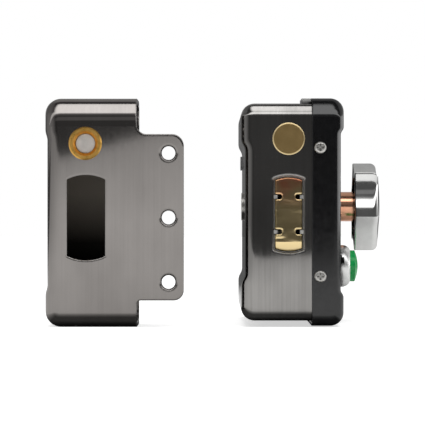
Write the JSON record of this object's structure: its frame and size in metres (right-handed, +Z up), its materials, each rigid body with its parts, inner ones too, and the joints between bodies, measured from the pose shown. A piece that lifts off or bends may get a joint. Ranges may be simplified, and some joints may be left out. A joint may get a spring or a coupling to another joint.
{
  "type": "motorized door lock",
  "caption": "Surface-mounted motorized rim lock with a grooved sliding bolt, turn knob and exit button, and its open-sided box strike with a magnet.",
  "frame": {"origin": "centre of the four door bolts, on the plane of the raised pads that meet the door", "axes": "+X from the door into the room, +Y from the bolt edge towards the back, +Z up"},
  "size_m": [0.1507, 0.1242, 0.1006],
  "materials": {
    "gunmetal_steel": "satin",
    "black_enamel": "gloss",
    "polished_brass": "polished",
    "satin_brass": "satin",
    "copper": "polished",
    "chrome": "polished",
    "green_plastic": "gloss",
    "zinc_steel": "satin",
    "gear_brass": "satin",
    "black_nylon": "matte",
    "green_board": "satin",
    "blue_plastic": "gloss",
    "bronze_bush": "satin",
    "black_rubber": "matte",
    "magnet_nickel": "satin"
  },
  "bodies": {
    "housing": {"lock_case": "gunmetal_steel", "lock_cover": "black_enamel", "cover_screws": "zinc_steel", "clinch_nuts": "zinc_steel", "mounting_posts": "zinc_steel", "sensor_cap": "satin_brass", "sensor_nut": "gear_brass", "sensor_board": "green_board", "bolt_guide": "zinc_steel", "tail_guide": "zinc_steel", "limit_switches": "black_nylon", "door_bush": "bronze_bush", "cover_bush": "bronze_bush", "gearbox": "zinc_steel", "gearbox_lid": "zinc_steel", "gearbox_screws": "zinc_steel", "motor": "zinc_steel", "motor_bracket": "zinc_steel", "bracket_screws": "zinc_steel", "control_board": "green_board", "board_standoffs": "gear_brass", "board_screws": "zinc_steel", "terminal_block": "blue_plastic", "relay": "black_nylon", "button_bezel": "chrome", "button_nut": "zinc_steel", "button_spring": "zinc_steel", "contact_block": "black_nylon", "cable_grommet": "black_rubber", "strike_shell": "gunmetal_steel", "strike_ring": "polished_brass", "strike_magnet": "magnet_nickel", "magnet_cup": "zinc_steel"},
    "bolt_body": {"bolt": "polished_brass", "bolt_pins": "zinc_steel", "bolt_tail": "zinc_steel"},
    "spindle_body": {"spindle": "copper", "spindle_clip": "zinc_steel", "spindle_pinion": "zinc_steel", "spindle_gear": "gear_brass", "knob": "chrome", "knob_screw": "zinc_steel"},
    "drive_body": {"drive_shaft": "zinc_steel", "drive_pinion": "gear_brass"},
    "cap_body": {"button_cap": "green_plastic"}
  },
  "joints": [
    {"name": "knob_turn", "type": "hinge", "parent": "housing", "child": "spindle_body", "pos_m": [0.0458, 0.002, 0.0025], "axis": [-1, 0, 0], "range_deg": [0, 130.9]},
    {"name": "bolt_throw", "type": "slide", "parent": "housing", "child": "bolt_body", "axis": [0, -1, 0], "range_m": [0, 0.016]},
    {"name": "drive_pinion_spin", "type": "hinge", "parent": "housing", "child": "drive_body", "pos_m": [0.0305, 0.01685, 0.01735], "axis": [-1, 0, 0], "range_deg": [-327.5, 0]},
    {"name": "button_press", "type": "slide", "parent": "housing", "child": "cap_body", "axis": [-1, 0, 0], "range_m": [0, 0.0025], "stiffness_N_per_m": 400, "springref_m": -0.001, "deforming": ["button_spring"]}
  ],
  "couplings": [
    {"joint": "bolt_throw", "follows": "knob_turn", "m_per_rad": 0.007},
    {"joint": "drive_pinion_spin", "follows": "knob_turn", "ratio": -2.5}
  ]
}
